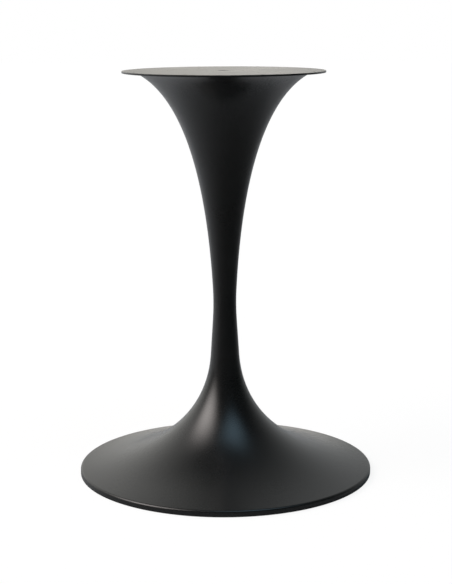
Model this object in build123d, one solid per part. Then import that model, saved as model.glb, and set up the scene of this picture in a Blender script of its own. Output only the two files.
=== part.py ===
from build123d import *
import os
from math import cos, radians, sin

# Trumpet-shaped pedestal base for a round table.
# Two spun steel flares meet at a narrow waist. A steel tube and a tie rod inside them
# clamp the round top plate to the base plate. Millimetres, +Z up, origin on the floor
# at the middle of the foot.

# Overall sizes
total_height = 720.0
top_plate_diameter = 355.0
foot_diameter = 526.6
waist_diameter = 41.0
waist_height = 310.0
mouth_diameter = 305.0

# Sheet and plate
shell_wall = 2.0
top_plate_thickness = 3.2
base_plate_thickness = 6.0
plate_edge_chamfer = 0.4

# Spun outline: angles in degrees, how hard each end pulls on a flare as a ratio to its chord
waist_round = 480.0
waist_angle = 3.0
mouth_angle = 63.2
waist_pull_ratio = 0.36
mouth_pull_ratio = 0.265
taper_angle = 3.7
taper_length = 64.0
foot_angle = 8.0
stem_pull_ratio = 0.283
foot_pull_ratio = 0.55
rim_height = 12.0
rim_inner_round = 2.2
skirt_clearance = 1.0

# Clearances
seat_gap = 0.3
slide_gap = 0.15
cut_margin = 1.0

# Tube, rod and their fittings
tube_diameter = 30.0
tube_wall = 2.5
waist_ring_height = 40.0
collar_wall = 6.0
collar_height = 12.0
rod_diameter = 10.0
rod_chamfer = 1.0
nut_barrel_diameter = 15.0
nut_head_diameter = 20.0
nut_length = 28.0
nut_head_sink = 0.1
socket_size = 5.0
socket_depth = 5.0

# Ring that centres the upper flare under the top plate
mouth_ring_wall = 4.0
mouth_ring_height = 8.0

# Screw holes for the table top, halfway across the part of the plate that stands out past the flare
screw_hole_diameter = 6.0
screw_hole_count = 8

# Levelling glides
glide_count = 6
glide_inset = 58.0
stud_diameter = 8.0
stud_above_plate = 5.0
stud_seat = 1.2
pad_diameter = 28.0
pad_edge_chamfer = 0.8

# Levels worked out from the sizes above
plate_under = total_height - top_plate_thickness
rim_round = rim_inner_round + shell_wall
base_plate_top = rim_height - shell_wall - seat_gap
base_plate_under = base_plate_top - base_plate_thickness
nut_head_height = (nut_head_diameter - nut_barrel_diameter) / 2
screw_circle_diameter = (mouth_diameter + top_plate_diameter) / 2
glide_circle_diameter = foot_diameter - 2 * glide_inset


def on_section(radius, height):
    """A point of the half section, by its radius and its height."""
    return Vector(radius, 0, height)


def lean_from_upright(angle):
    """The unit direction that goes up and leans outwards by an angle."""
    return on_section(sin(radians(angle)), cos(radians(angle)))


def turned(edges):
    """The solid that a closed half section sweeps round the axis."""
    return revolve(make_face(edges), Axis.Z)


def ring(outer_radius, inner_radius, low, high):
    """A plain turned ring between two levels."""
    body = Cylinder(outer_radius, high - low, align=(Align.CENTER, Align.CENTER, Align.MIN))
    bore = Cylinder(inner_radius, high - low, align=(Align.CENTER, Align.CENTER, Align.MIN))
    return Pos(0, 0, low) * (body - bore)


def shifted(curve, share, depth):
    """The point at a share of a curve, moved in from the skin by a depth."""
    along = curve % share
    return (curve @ share) + Vector(-along.Z, 0, along.X) * depth


def inset(curve, depth):
    """A curve of the skin, drawn upwards, moved in from the skin by a depth."""
    if curve.geom_type == GeomType.LINE:
        return Line(shifted(curve, 0, depth), shifted(curve, 1, depth))
    if curve.geom_type == GeomType.CIRCLE:
        return ThreePointArc(*[shifted(curve, share, depth) for share in (0, 0.5, 1)])
    stations = 12
    points = [shifted(curve, step / stations, depth) for step in range(stations + 1)]
    return Spline(*points, tangents=[curve % 0, curve % 1])


def waist_point(angle):
    """The point of the waist's arc where the skin leans by an angle, positive above the waist."""
    centre = on_section(waist_diameter / 2 + waist_round, waist_height)
    return centre + on_section(-cos(radians(angle)), sin(radians(angle))) * waist_round


def upper_skin():
    """The outline of the upper flare, from the waist up to the mouth."""
    waist = ThreePointArc(waist_point(0), waist_point(waist_angle / 2), waist_point(waist_angle))
    start = waist @ 1
    mouth = on_section(mouth_diameter / 2, plate_under)
    chord = (mouth - start).length
    low_pull = start + lean_from_upright(waist_angle) * chord * waist_pull_ratio
    high_pull = mouth - lean_from_upright(mouth_angle) * chord * mouth_pull_ratio
    return [waist, Bezier(start, low_pull, high_pull, mouth)]


def lower_skin():
    """The outline of the lower flare, from the edge of its skirt up to the waist."""
    rim_level = rim_height - rim_round
    rim_centre = on_section(foot_diameter / 2 - rim_round, rim_level)
    skirt_edge = on_section(foot_diameter / 2, skirt_clearance)
    skirt_top = on_section(foot_diameter / 2, rim_level)
    half_turn = lean_from_upright((90 + foot_angle) / 2)
    foot_edge = rim_centre + lean_from_upright(foot_angle) * rim_round
    waist = ThreePointArc(waist_point(-taper_angle), waist_point(-taper_angle / 2), waist_point(0))
    taper_top = waist @ 0
    taper_low = taper_top - lean_from_upright(-taper_angle) * taper_length
    chord = (taper_low - foot_edge).length
    foot_pull = foot_edge + lean_from_upright(foot_angle - 90) * chord * foot_pull_ratio
    stem_pull = taper_low - lean_from_upright(-taper_angle) * chord * stem_pull_ratio
    return [
        Line(skirt_edge, skirt_top),
        ThreePointArc(skirt_top, rim_centre + half_turn * rim_round, foot_edge),
        Bezier(foot_edge, foot_pull, stem_pull, taper_low),
        Line(taper_low, taper_top),
        waist,
    ]


def spun_shell(skin):
    """A sheet of even wall under an outline that is drawn upwards."""
    inner = [inset(curve, shell_wall) for curve in skin]
    low_end = Line(skin[0] @ 0, inner[0] @ 0)
    high_end = Line(skin[-1] @ 1, inner[-1] @ 1)
    return turned(skin + inner + [low_end, high_end])


def inner_radius_at(skin, height):
    """The inside radius of a rising flare at a height, found by halving."""
    curve = inset(skin[-1], shell_wall)
    low = 0.0
    high = 1.0
    for _ in range(40):
        middle = (low + high) / 2
        if (curve @ middle).Z < height:
            low = middle
        else:
            high = middle
    return (curve @ low).X


def upper_trumpet():
    """The upper flare, trimmed flat where it meets the top plate."""
    shell = spun_shell(upper_skin())
    return split(shell, bisect_by=Plane.XY.offset(plate_under), keep=Keep.BOTTOM)


def lower_trumpet():
    """The lower flare with the foot and its turned-down skirt, spun as one."""
    return spun_shell(lower_skin())


def sunk_hole(face_level, side, thickness):
    """The hole for a sleeve nut in a plate: a cone at the face and a straight bore."""
    radius = nut_barrel_diameter / 2 + slide_gap
    mouth = radius + nut_head_height
    cone_end = face_level - side * (nut_head_sink + nut_head_height)
    cone_start = face_level - side * nut_head_sink
    past_face = face_level + side * cut_margin
    past_back = face_level - side * (thickness + cut_margin)
    outline = Polyline(
        on_section(0, past_face),
        on_section(mouth, past_face),
        on_section(mouth, cone_start),
        on_section(radius, cone_end),
        on_section(radius, past_back),
        on_section(0, past_back),
        close=True,
    )
    return turned(outline)


def top_plate():
    """The round plate that carries the table top, with its screw holes and its sunk centre hole."""
    plate = Cylinder(
        top_plate_diameter / 2, top_plate_thickness, align=(Align.CENTER, Align.CENTER, Align.MIN)
    )
    plate = chamfer(plate.edges().filter_by(GeomType.CIRCLE), plate_edge_chamfer)
    plate = Pos(0, 0, plate_under) * plate
    hole = Cylinder(screw_hole_diameter / 2, 3 * top_plate_thickness)
    holes = PolarLocations(screw_circle_diameter / 2, screw_hole_count, 180 / screw_hole_count)
    for place in holes:
        plate -= Pos(0, 0, plate_under) * place * hole
    return plate - sunk_hole(total_height, 1, top_plate_thickness)


def mouth_ring():
    """The ring under the top plate that centres the upper flare."""
    low = plate_under - mouth_ring_height
    outer = inner_radius_at(upper_skin(), low) - seat_gap
    return ring(outer, outer - mouth_ring_wall, low, plate_under)


def waist_ring():
    """The ring inside the waist that lines up both flares on the tube."""
    outer = waist_diameter / 2 - shell_wall - slide_gap
    low = waist_height - waist_ring_height / 2
    high = waist_height + waist_ring_height / 2
    return ring(outer, tube_diameter / 2 + slide_gap, low, high)


def inner_tube():
    """The tube that carries the load from the top plate to the base plate."""
    return ring(tube_diameter / 2, tube_diameter / 2 - tube_wall, base_plate_top, plate_under)


def collar(low):
    """A collar round one end of the tube, welded to its plate."""
    inner = tube_diameter / 2 + slide_gap
    return ring(inner + collar_wall, inner, low, low + collar_height)


def tie_rod():
    """The rod that draws the two plates together, with chamfered ends."""
    low = base_plate_under + nut_head_sink + socket_depth + slide_gap
    high = total_height - nut_head_sink - socket_depth - slide_gap
    rod = Cylinder(rod_diameter / 2, high - low, align=(Align.CENTER, Align.CENTER, Align.MIN))
    ends = rod.edges().filter_by(GeomType.CIRCLE)
    return Pos(0, 0, low) * chamfer(ends, rod_chamfer)


def sleeve_nut():
    """A sleeve nut that stands on its barrel: a sunk head with a hexagon socket on top."""
    head_radius = nut_head_diameter / 2
    barrel_radius = nut_barrel_diameter / 2
    bore_radius = rod_diameter / 2 + slide_gap
    head_under = nut_length - nut_head_height
    outline = Polyline(
        on_section(bore_radius, 0),
        on_section(barrel_radius, 0),
        on_section(barrel_radius, head_under),
        on_section(head_radius, nut_length),
        on_section(bore_radius, nut_length),
        close=True,
    )
    socket = extrude(RegularPolygon(socket_size / 2, 6, major_radius=False), socket_depth)
    web = Cylinder(bore_radius, socket_depth, align=(Align.CENTER, Align.CENTER, Align.MIN))
    solid = turned(outline) + Pos(0, 0, nut_length - socket_depth) * web
    return solid - Pos(0, 0, nut_length - socket_depth) * socket


def top_sleeve_nut():
    """The sleeve nut sunk in the middle of the top plate."""
    return Pos(0, 0, total_height - nut_head_sink - nut_length) * sleeve_nut()


def bottom_sleeve_nut():
    """The sleeve nut sunk in the underside of the base plate."""
    level = base_plate_under + nut_head_sink + nut_length
    return Pos(0, 0, level) * Rot(180, 0, 0) * sleeve_nut()


def glide_places():
    """Where the glides stand on the base plate."""
    return PolarLocations(glide_circle_diameter / 2, glide_count, 180 / glide_count)


def base_plate():
    """The heavy round plate inside the foot, with tapped holes for the glides."""
    radius = foot_diameter / 2 - shell_wall - seat_gap
    plate = Cylinder(radius, base_plate_thickness, align=(Align.CENTER, Align.CENTER, Align.MIN))
    plate = chamfer(plate.edges().group_by(Axis.Z)[-1], rim_inner_round)
    plate = Pos(0, 0, base_plate_under) * plate
    hole = Cylinder(stud_diameter / 2 + slide_gap, 3 * base_plate_thickness)
    for place in glide_places():
        plate -= Pos(0, 0, base_plate_under) * place * hole
    return plate - sunk_hole(base_plate_under, -1, base_plate_thickness)


def glide_studs():
    """The studs of the glides, screwed up through the base plate."""
    length = base_plate_top + stud_above_plate - stud_seat
    stud = Cylinder(stud_diameter / 2, length, align=(Align.CENTER, Align.CENTER, Align.MIN))
    return [Pos(0, 0, stud_seat) * place * stud for place in glide_places()]


def glide_pads():
    """The pads that stand on the floor, each moulded round the foot of its stud."""
    height = base_plate_under - seat_gap
    pad = Cylinder(pad_diameter / 2, height, align=(Align.CENTER, Align.CENTER, Align.MIN))
    pad = chamfer(pad.edges().group_by(Axis.Z)[0], pad_edge_chamfer)
    pocket = Cylinder(stud_diameter / 2, height, align=(Align.CENTER, Align.CENTER, Align.MIN))
    pad -= Pos(0, 0, stud_seat) * pocket
    return [place * pad for place in glide_places()]


def write(name, solids):
    """Save one sub-part, which may be a group of separate solids."""
    parts = solids if isinstance(solids, list) else [solids]
    found = [solid for part in parts for solid in part.solids()]
    shape = found[0] if len(found) == 1 else Compound(children=found)
    shape.label = name
    export_step(shape, os.path.join("parts", name + ".step"))


os.makedirs("parts", exist_ok=True)
write("top_plate", top_plate())
write("mouth_ring", mouth_ring())
write("upper_trumpet", upper_trumpet())
write("lower_trumpet", lower_trumpet())
write("waist_ring", waist_ring())
write("inner_tube", inner_tube())
write("top_collar", collar(plate_under - collar_height))
write("base_collar", collar(base_plate_top))
write("tie_rod", tie_rod())
write("top_sleeve_nut", top_sleeve_nut())
write("bottom_sleeve_nut", bottom_sleeve_nut())
write("base_plate", base_plate())
write("glide_studs", glide_studs())
write("glide_pads", glide_pads())
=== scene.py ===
import bpy
from math import cos, pi, radians, sin
from mathutils import Matrix, Vector

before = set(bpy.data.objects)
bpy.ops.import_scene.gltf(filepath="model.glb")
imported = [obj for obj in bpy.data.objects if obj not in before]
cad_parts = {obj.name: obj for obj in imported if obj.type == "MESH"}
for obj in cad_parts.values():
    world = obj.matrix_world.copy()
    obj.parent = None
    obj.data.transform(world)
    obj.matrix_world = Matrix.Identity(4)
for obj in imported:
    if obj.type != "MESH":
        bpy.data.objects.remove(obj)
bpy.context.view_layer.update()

# Camera in metres and radians, fitted to the photograph's outline. The image is 452 x 584.
image_height = 584
focal_pixels = 1453.4
sideways_pixels = 1.25
sensor_width = 36.0
camera_place = Vector((0.0, -2.5465, 0.8292))
camera_pitch = 0.19412
camera_roll = -0.00451
clip_near = 0.05
clip_far = 100.0

# The black powder coat, and the refraction of coat and plastic
coat_colour = (0.0076, 0.0076, 0.0076)
coat_roughness = 0.28
plain_ior = 1.5

# Studio: a warm soft box high on the left, a cooler window high on the right behind the camera,
# and a white wall behind the object that is brighter on its left and low down in its middle.
# A light is red, green and blue, where 1 is white. A place is in degrees: turned clockwise from
# straight behind the object as seen from above, then raised from the floor. An edge, a side or a
# top is a pair: where the light is nothing, then where it is full.
soft_box_light = (7.60, 7.12, 6.89)
soft_box_place = (-104.7, 40.7)
soft_box_edge = (34.9, 3.2)
window_light = (1.13, 1.73, 2.17)
window_place = (142.9, 68.1)
window_edge = (29.2, 0.8)
low_lamp_light = (1.24, 1.14, 0.97)
backdrop_light = (1.0, 1.0, 1.0)
backdrop_place = (0.0, 1.2)
backdrop_edge = (11.6, 0.5)
left_wall_light = (0.965, 0.955, 0.92)
left_wall_sides = ((-97.0, -50.5), (0.9, -13.8))
left_wall_top = (71.5, 24.6)
right_wall_light = (0.525, 0.535, 0.535)
right_wall_sides = ((-4.1, 12.1), (95.0, 10.0))
right_wall_top = (80.0, 18.5)
light_from_below = (0.70, 0.70, 0.70)
below_edge = (-2.0, -30.0)
room_light = (0.039, 0.046, 0.046)
paper_white = (1.0, 1.0, 1.0, 1.0)

# Floor in metres, with x to the right and y away from the camera. The level is the light that
# falls on it out of the shadow, and the depth is how deep the shadow shows.
floor_size = 40.0
floor_level = (0.810, 0.826, 0.835)
shadow_depth = 0.15
covered_radius = 0.255

# Light and shade painted into the floor's colour, as the object sees it: the painted dim and
# bright colour, the bright part's edge and how far it leans to the left, the painted pool of
# light round the object, and further off the painted light that the right side keeps and the left
# side has more.
# Diffuse rays see at least the last share.
painted_floor_light = ((0.060, 0.064, 0.062), (0.96, 0.97, 1.0))
bright_edge = (-1.31, 1.9)
bright_lean = -0.55
pool_edge = (1.9, 0.7)
far_share = 0.46
far_left_extra = 0.50
far_left_edge = (0.4, -2.4)
diffuse_share = 0.8


class Nodes:
    """Adds shader nodes to one tree and links them."""

    def __init__(self, tree):
        self.tree = tree
        self.tree.nodes.clear()

    def add(self, kind, inputs=None, **settings):
        node = self.tree.nodes.new(kind)
        for key, value in settings.items():
            setattr(node, key, value)
        for key, value in (inputs or {}).items():
            self.feed(node.inputs[key], value)
        return node

    def feed(self, socket, value):
        if isinstance(value, bpy.types.Node):
            value = value.outputs[0]
        if isinstance(value, bpy.types.NodeSocket):
            self.tree.links.new(value, socket)
        else:
            socket.default_value = value

    def math(self, operation, *values):
        inputs = {index: value for index, value in enumerate(values)}
        return self.add("ShaderNodeMath", inputs, operation=operation)

    def ramp(self, factor, stops):
        node = self.add("ShaderNodeValToRGB", {"Fac": factor})
        for element, (place, colour) in zip(node.color_ramp.elements, stops):
            element.position = place
            element.color = (*colour, 1.0)
        return node

    def noise(self, scale, detail, roughness, vector):
        inputs = {"Scale": scale, "Detail": detail, "Roughness": roughness, "Vector": vector}
        return self.add("ShaderNodeTexNoise", inputs)

    def between(self, factor, low, high):
        inputs = {"Value": factor, "To Min": low, "To Max": high}
        return self.add("ShaderNodeMapRange", inputs)

    def fade(self, value, nothing, full):
        """A smooth step from the value where it is nothing to the value where it is full."""
        inputs = {"Value": value, "From Min": nothing, "From Max": full}
        return self.add("ShaderNodeMapRange", inputs, interpolation_type="SMOOTHSTEP")


def new_material(name):
    material = bpy.data.materials.new(name)
    material.use_nodes = True
    return material, Nodes(material.node_tree)


def scaled(colour, share):
    return [channel * share for channel in colour]


def powder_coat(name, depth):
    """A matt black powder coat: fine grain, a faint slow swell and slightly uneven gloss."""
    material, made = new_material(name)
    place = made.add("ShaderNodeTexCoord").outputs["Object"]
    cloud = made.noise(9.0, 3.0, 0.55, place)
    speck = made.noise(900.0, 2.0, 0.6, place)
    tone = made.math("MULTIPLY_ADD", speck, 0.35, made.math("MULTIPLY", cloud, 0.65))
    paint = made.ramp(tone, [(0.3, scaled(coat_colour, 0.75)), (0.7, scaled(coat_colour, 1.25))])
    sheen = made.math("MULTIPLY_ADD", cloud, 0.6, made.math("MULTIPLY", speck, 0.4))
    gloss = made.between(sheen, coat_roughness - 0.05, coat_roughness + 0.05)
    swell = made.noise(260.0, 1.0, 0.4, place)
    grain = made.noise(1500.0, 1.0, 0.5, place)
    slow = made.add("ShaderNodeBump", {
        "Strength": 0.10 * depth, "Distance": 0.0002, "Height": swell})
    fine = made.add("ShaderNodeBump", {
        "Strength": 0.22 * depth, "Distance": 0.0001, "Height": grain, "Normal": slow})
    shader = made.add("ShaderNodeBsdfPrincipled", {
        "Base Color": paint, "Roughness": gloss, "Normal": fine, "IOR": plain_ior})
    made.add("ShaderNodeOutputMaterial", {"Surface": shader})
    return material


def steel(name, colour, roughness, rings):
    """Turned or plated steel: fine rings round the axis, uneven tone and a slight haze."""
    material, made = new_material(name)
    place = made.add("ShaderNodeTexCoord").outputs["Object"]
    lines = made.add("ShaderNodeMapping", {"Vector": place, "Scale": (1.0, 1.0, rings)})
    mark = made.noise(60.0, 4.0, 0.6, lines)
    cloud = made.noise(35.0, 3.0, 0.6, place)
    tone = made.math("MULTIPLY_ADD", mark, 0.5, made.math("MULTIPLY", cloud, 0.5))
    paint = made.ramp(tone, [(0.3, scaled(colour, 0.8)), (0.7, colour)])
    gloss = made.between(mark, roughness - 0.08, roughness + 0.1)
    scratch = made.add("ShaderNodeBump", {"Strength": 0.12, "Distance": 0.0001, "Height": mark})
    shader = made.add("ShaderNodeBsdfPrincipled", {
        "Base Color": paint, "Roughness": gloss, "Normal": scratch, "Metallic": 1.0})
    made.add("ShaderNodeOutputMaterial", {"Surface": shader})
    return material


def moulded(name, colour, roughness):
    """Moulded or turned plastic with a fine even grain."""
    material, made = new_material(name)
    place = made.add("ShaderNodeTexCoord").outputs["Object"]
    cloud = made.noise(40.0, 3.0, 0.5, place)
    grain = made.noise(1100.0, 2.0, 0.6, place)
    paint = made.ramp(cloud, [(0.3, scaled(colour, 0.85)), (0.7, colour)])
    gloss = made.between(grain, roughness - 0.07, roughness + 0.07)
    bump = made.add("ShaderNodeBump", {"Strength": 0.2, "Distance": 0.0001, "Height": grain})
    shader = made.add("ShaderNodeBsdfPrincipled", {
        "Base Color": paint, "Roughness": gloss, "Normal": bump, "IOR": plain_ior})
    made.add("ShaderNodeOutputMaterial", {"Surface": shader})
    return material


def round_panel(made, direction, place, edge):
    """A round patch of light that is full in its middle and fades to nothing at its edge."""
    turn, rise = (radians(angle) for angle in place)
    towards = (sin(turn) * cos(rise), cos(turn) * cos(rise), sin(rise))
    inputs = {0: direction, 1: towards}
    facing = made.add("ShaderNodeVectorMath", inputs, operation="DOT_PRODUCT").outputs["Value"]
    return made.fade(made.math("DEGREES", made.math("ARCCOSINE", facing)), *edge)


def wall_panel(made, turn, rise, sides, top):
    """A stretch of wall from the floor up."""
    left, right = (made.fade(turn, *side) for side in sides)
    return made.math("MULTIPLY", made.math("MULTIPLY", left, right), made.fade(rise, *top))


shell_black = powder_coat("shell_black", 0.8)
plate_black = powder_coat("plate_black", 0.3)
turned_steel = steel("turned_steel", (0.45, 0.45, 0.46), 0.34, 12.0)
zinc_steel = steel("zinc_steel", (0.62, 0.64, 0.67), 0.30, 6.0)
black_steel = steel("black_steel", (0.045, 0.045, 0.048), 0.42, 6.0)
white_nylon = moulded("white_nylon", (0.78, 0.77, 0.73), 0.5)
black_plastic = moulded("black_plastic", (0.025, 0.025, 0.026), 0.55)

finishes = {
    "top_plate": plate_black,
    "mouth_ring": turned_steel,
    "upper_trumpet": shell_black,
    "lower_trumpet": shell_black,
    "waist_ring": white_nylon,
    "inner_tube": turned_steel,
    "top_collar": turned_steel,
    "base_collar": turned_steel,
    "tie_rod": zinc_steel,
    "top_sleeve_nut": black_steel,
    "bottom_sleeve_nut": black_steel,
    "base_plate": plate_black,
    "glide_studs": zinc_steel,
    "glide_pads": black_plastic,
}
for name, material in finishes.items():
    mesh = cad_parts[name].data
    mesh.materials.clear()
    mesh.materials.append(material)

lens = bpy.data.cameras.new("view")
lens.sensor_width = sensor_width
lens.lens = focal_pixels * sensor_width / image_height
lens.shift_x = sideways_pixels / image_height
lens.clip_start = clip_near
lens.clip_end = clip_far
camera = bpy.data.objects.new("view", lens)
tilt = Matrix.Rotation(pi / 2 - camera_pitch, 4, "X") @ Matrix.Rotation(camera_roll, 4, "Z")
camera.matrix_world = Matrix.Translation(camera_place) @ tilt
bpy.context.scene.collection.objects.link(camera)
bpy.context.scene.camera = camera

# The studio is the world's light. The camera and transmission rays see plain white instead, and
# glossy rays see the white backdrop low behind the object, added to the lamp that stands there.
world = bpy.data.worlds.new("studio")
bpy.context.scene.world = world
world.use_nodes = True
made = Nodes(world.node_tree)
direction = made.add("ShaderNodeTexCoord").outputs["Generated"]
part = made.add("ShaderNodeSeparateXYZ", {"Vector": direction})
turn = made.math("DEGREES", made.math("ARCTAN2", part.outputs["X"], part.outputs["Y"]))
rise = made.math("DEGREES", made.math("ARCSINE", part.outputs["Z"]))
path = made.add("ShaderNodeLightPath")
behind = round_panel(made, direction, backdrop_place, backdrop_edge)
panels = [
    (round_panel(made, direction, soft_box_place, soft_box_edge), soft_box_light),
    (round_panel(made, direction, window_place, window_edge), window_light),
    (wall_panel(made, turn, rise, left_wall_sides, left_wall_top), left_wall_light),
    (wall_panel(made, turn, rise, right_wall_sides, right_wall_top), right_wall_light),
    (behind, low_lamp_light),
    (made.math("MULTIPLY", behind, path.outputs["Is Glossy Ray"]), backdrop_light),
    (made.fade(rise, *below_edge), light_from_below),
]
total = made.add("ShaderNodeCombineXYZ", dict(zip("XYZ", room_light)))
for share, light in panels:
    lit = made.add("ShaderNodeVectorMath", {0: light, "Scale": share}, operation="SCALE")
    total = made.add("ShaderNodeVectorMath", {0: total, 1: lit}, operation="ADD")
studio = made.add("ShaderNodeBackground", {"Color": total})
paper = made.add("ShaderNodeBackground", {"Color": paper_white})
through = made.math("MAXIMUM", path.outputs["Is Camera Ray"], path.outputs["Is Transmission Ray"])
shown = made.add("ShaderNodeMixShader", {0: through, 1: studio, 2: paper})
made.add("ShaderNodeOutputWorld", {"Surface": shown})

# The floor is a pale sheet. The camera sees it as white with the object's soft shadow on it. The
# object sees light and shade painted into its colour: painted shade towards the camera, painted
# light towards the wall and on the left, and a painted pool of light round the object, set to
# match the photograph.
# Under the foot, where nothing else sees it, it lets light through, so that a view from below
# shows the underside.
half = floor_size / 2
corners = [(-half, -half, 0), (half, -half, 0), (half, half, 0), (-half, half, 0)]
sheet = bpy.data.meshes.new("floor")
sheet.from_pydata(corners, [], [(0, 1, 2, 3)])
floor = bpy.data.objects.new("floor", sheet)
bpy.context.scene.collection.objects.link(floor)
material, made = new_material("floor_white")
path = made.add("ShaderNodeLightPath")
place = made.add("ShaderNodeTexCoord").outputs["Object"]
spot = made.add("ShaderNodeSeparateXYZ", {"Vector": place})
middle = made.add("ShaderNodeVectorMath", {0: place}, operation="LENGTH").outputs["Value"]
# Painted light and shade on the floor: darker towards the camera, lighter towards the wall, with
# a painted pool of light round the object and more painted light far to the left.
along = made.math("MULTIPLY_ADD", spot.outputs["X"], bright_lean, spot.outputs["Y"])
far_left = made.fade(spot.outputs["X"], *far_left_edge)
far = made.math("MULTIPLY_ADD", far_left, far_left_extra, far_share)
near = made.math("MAXIMUM", made.fade(middle, *pool_edge), far)
tuned = made.math("MULTIPLY", made.fade(along, *bright_edge), near)
lift = made.math("MULTIPLY", path.outputs["Is Diffuse Ray"], diffuse_share)
dim, bright = painted_floor_light
# The painted light and shade become the floor's colour, which diffuse rays see at no less than
# the diffuse share.
tone = made.ramp(made.math("MAXIMUM", tuned, lift), [(0.0, dim), (1.0, bright)])
floor_with_painted_light = made.add("ShaderNodeBsdfDiffuse", {"Color": tone})
shade = made.add("ShaderNodeBsdfDiffuse", {"Color": (*[shadow_depth] * 3, 1.0)})
rest_of_white = [1.0 - shadow_depth * level for level in floor_level]
glow = made.add("ShaderNodeEmission", {"Color": (*rest_of_white, 1.0)})
white = made.add("ShaderNodeAddShader", {0: shade, 1: glow})
seen = made.add("ShaderNodeMixShader", {0: path.outputs["Is Camera Ray"], 1: floor_with_painted_light, 2: white})
clear = made.add("ShaderNodeBsdfTransparent")
below = made.add("ShaderNodeNewGeometry").outputs["Backfacing"]
covered = made.math("LESS_THAN", middle, covered_radius)
gone = made.math("MAXIMUM", below, covered)
surface = made.add("ShaderNodeMixShader", {0: gone, 1: seen, 2: clear})
made.add("ShaderNodeOutputMaterial", {"Surface": surface})
sheet.materials.append(material)

bpy.context.scene.view_settings.view_transform = "Standard"
